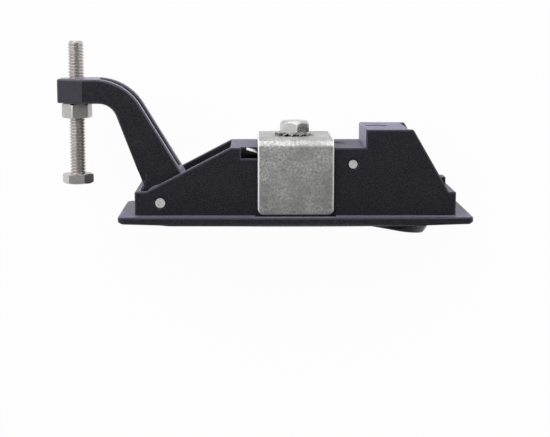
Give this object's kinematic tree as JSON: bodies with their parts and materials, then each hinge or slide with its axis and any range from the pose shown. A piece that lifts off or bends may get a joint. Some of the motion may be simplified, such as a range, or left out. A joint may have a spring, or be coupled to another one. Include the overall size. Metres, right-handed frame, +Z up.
{
  "type": "adjustable lever latch",
  "caption": "Flush black lever latch for a panel door, with a rocking trigger, a cranked arm, an adjusting bolt and a clamp bracket.",
  "frame": {"origin": "centre of the bezel's back face, which seats on the panel", "axes": "+X along the length toward the trigger, +Y into the door, -Y the front face, +Z up"},
  "size_m": [0.1692, 0.0793, 0.052],
  "materials": {
    "cast_black": "fine textured powder coat",
    "arm_black": "satin powder coat",
    "cap_black": "fine textured powder coat",
    "sheet_steel": "satin, mottled",
    "plated_steel": "bright plated",
    "bright_steel": "bright plated",
    "pin_steel": "ground",
    "spring_wire": "drawn wire"
  },
  "bodies": {
    "housing": {"housing": "cast_black", "lever_pin": "pin_steel", "trigger_pin": "pin_steel", "spring_pin": "pin_steel", "lever_spring": "spring_wire", "trigger_spring": "spring_wire"},
    "lever": {"lever": "cast_black", "latch_arm": "arm_black", "arm_screw_upper": "pin_steel", "arm_screw_lower": "pin_steel"},
    "trigger": {"trigger": "cast_black", "trigger_cap": "cap_black", "cap_clip": "pin_steel"},
    "bolt": {"adjusting_bolt": "bright_steel"},
    "nut": {"lock_nut": "bright_steel"},
    "bracket": {"clamp_bracket": "sheet_steel", "tooth_washer": "plated_steel"},
    "screw": {"clamp_screw": "plated_steel"}
  },
  "joints": [
    {"name": "lever_open", "type": "hinge", "parent": "housing", "child": "lever", "pos_m": [-0.05485, 0.005, 0], "axis": [0, 0, -1], "range_deg": [0, 55]},
    {"name": "trigger_press", "type": "hinge", "parent": "housing", "child": "trigger", "pos_m": [0.0232, 0.0208, 0], "axis": [0, 0, 1], "range_deg": [0, 6], "stiffness_Nm_per_rad": 0.8, "springref_deg": -11.46, "deforming": ["trigger_spring"]},
    {"name": "bolt_adjust", "type": "slide", "parent": "lever", "child": "bolt", "axis": [0, 1, 0], "range_m": [-0.006, 0.01]},
    {"name": "nut_run", "type": "slide", "parent": "lever", "child": "nut", "axis": [0, -1, 0], "range_m": [0, 0.008]},
    {"name": "bracket_grip", "type": "slide", "parent": "housing", "child": "bracket", "axis": [0, 1, 0], "range_m": [0, 0.006]},
    {"name": "screw_turn", "type": "hinge", "parent": "bracket", "child": "screw", "pos_m": [0, 0.031, 0], "axis": [0, 1, 0], "range_deg": [0, 1702]}
  ],
  "couplings": [
    {"joint": "screw_turn", "follows": "bracket_grip", "rad_per_m": 4947.4}
  ]
}
